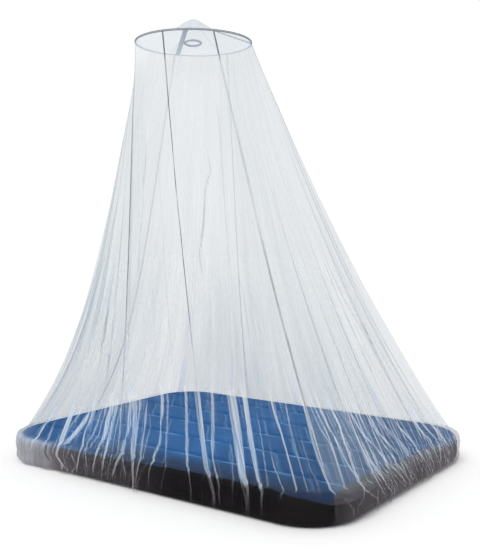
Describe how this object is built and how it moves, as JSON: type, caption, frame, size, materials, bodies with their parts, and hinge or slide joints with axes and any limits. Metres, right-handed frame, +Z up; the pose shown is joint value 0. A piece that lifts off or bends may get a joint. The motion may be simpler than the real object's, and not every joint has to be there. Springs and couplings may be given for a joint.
{
  "type": "mosquito net canopy over air mattress",
  "caption": "Sheer white mosquito net canopy that hangs from a bound hoop with a shallow cloth cap and spreads in soft folds over a low blue air mattress.",
  "frame": {"origin": "middle of the mattress footprint, on the floor", "axes": "+X along the mattress, +Y across it, +Z up towards the hoop"},
  "size_m": [2.0024, 1.5462, 2.2476],
  "materials": {
    "net": "fine sheer polyester mosquito mesh, off-white with a cool grey-blue cast",
    "binding": "dark grey woven binding tape over the hoop and the panel seams",
    "cap_cloth": "thin plain-woven bluish white cloth",
    "webbing": "grey woven webbing",
    "flocked_vinyl": "blue flocked vinyl top over dark smooth vinyl sides"
  },
  "bodies": {
    "root": {"net_panel_1": "net", "net_panel_2": "net", "net_panel_3": "net", "net_panel_4": "net", "net_panel_5": "net", "net_panel_6": "net", "seam_tape_1": "binding", "seam_tape_2": "binding", "seam_tape_3": "binding", "seam_tape_4": "binding", "seam_tape_5": "binding", "seam_tape_6": "binding", "hoop": "binding", "cap": "cap_cloth", "cross_strap": "webbing", "centre_ring": "webbing", "mattress": "flocked_vinyl"}
  },
  "joints": []
}
